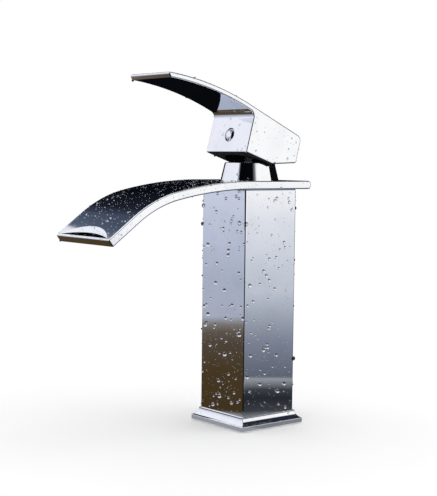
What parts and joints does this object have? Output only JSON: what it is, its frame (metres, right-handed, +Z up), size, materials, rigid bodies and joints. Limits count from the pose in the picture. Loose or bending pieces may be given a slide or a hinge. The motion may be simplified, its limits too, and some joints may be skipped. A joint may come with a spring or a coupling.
{
  "type": "basin mixer tap",
  "caption": "Single-lever basin mixer tap with a square column on a flared square foot, a flat bent waterfall spout and a blade lever on a tapered cover.",
  "frame": {"origin": "centre of the foot's underside, on the basin, at the mouth of the fixing stud's hole", "axes": "+Z up along the column, the spout reaches along -Y, +X to the right seen from the front"},
  "size_m": [0.0524, 0.146, 0.2069],
  "materials": {
    "chrome": "polished chrome plate",
    "brass": "bare brass",
    "rubber": "black seal rubber",
    "ceramic": "lapped alumina",
    "plastic": "glass-filled plastic",
    "steel": "stainless steel"
  },
  "bodies": {
    "tap_body": {"base_flange": "chrome", "column_shell": "chrome", "spout": "chrome", "cone_cover": "chrome", "inlet_block": "brass", "valve_body": "brass", "cartridge_nut": "brass", "hot_supply_tube": "brass", "cold_supply_tube": "brass", "deck_gasket": "rubber", "hot_tube_lower_seal": "rubber", "hot_tube_upper_seal": "rubber", "cold_tube_lower_seal": "rubber", "cold_tube_upper_seal": "rubber", "spout_gasket": "rubber", "hot_port_seal": "rubber", "cold_port_seal": "rubber", "housing_o_ring": "rubber", "cone_seal_ring": "rubber", "fixed_ceramic_disc": "ceramic", "cartridge_base": "plastic", "cartridge_housing": "plastic"},
    "turret": {"turret": "plastic", "stem_pin": "steel"},
    "lever": {"lever_handle": "chrome", "lever_stem": "steel", "grub_screw": "steel", "index_plug": "chrome"},
    "moving_disc": {"moving_ceramic_disc": "ceramic", "disc_carrier": "plastic"}
  },
  "joints": [
    {"name": "temp_swivel", "type": "hinge", "parent": "tap_body", "child": "turret", "pos_m": [0, 0, 0.15], "axis": [0, 0, 1], "range_deg": [-45, 45]},
    {"name": "lever_lift", "type": "hinge", "parent": "turret", "child": "lever", "pos_m": [0, 0, 0.15], "axis": [1, 0, 0], "range_deg": [0, 19]},
    {"name": "disc_slide", "type": "slide", "parent": "turret", "child": "moving_disc", "axis": [0, 1, 0], "range_m": [0, 0.0037]}
  ],
  "couplings": [
    {"joint": "disc_slide", "follows": "lever_lift", "m_per_rad": 0.01089}
  ]
}
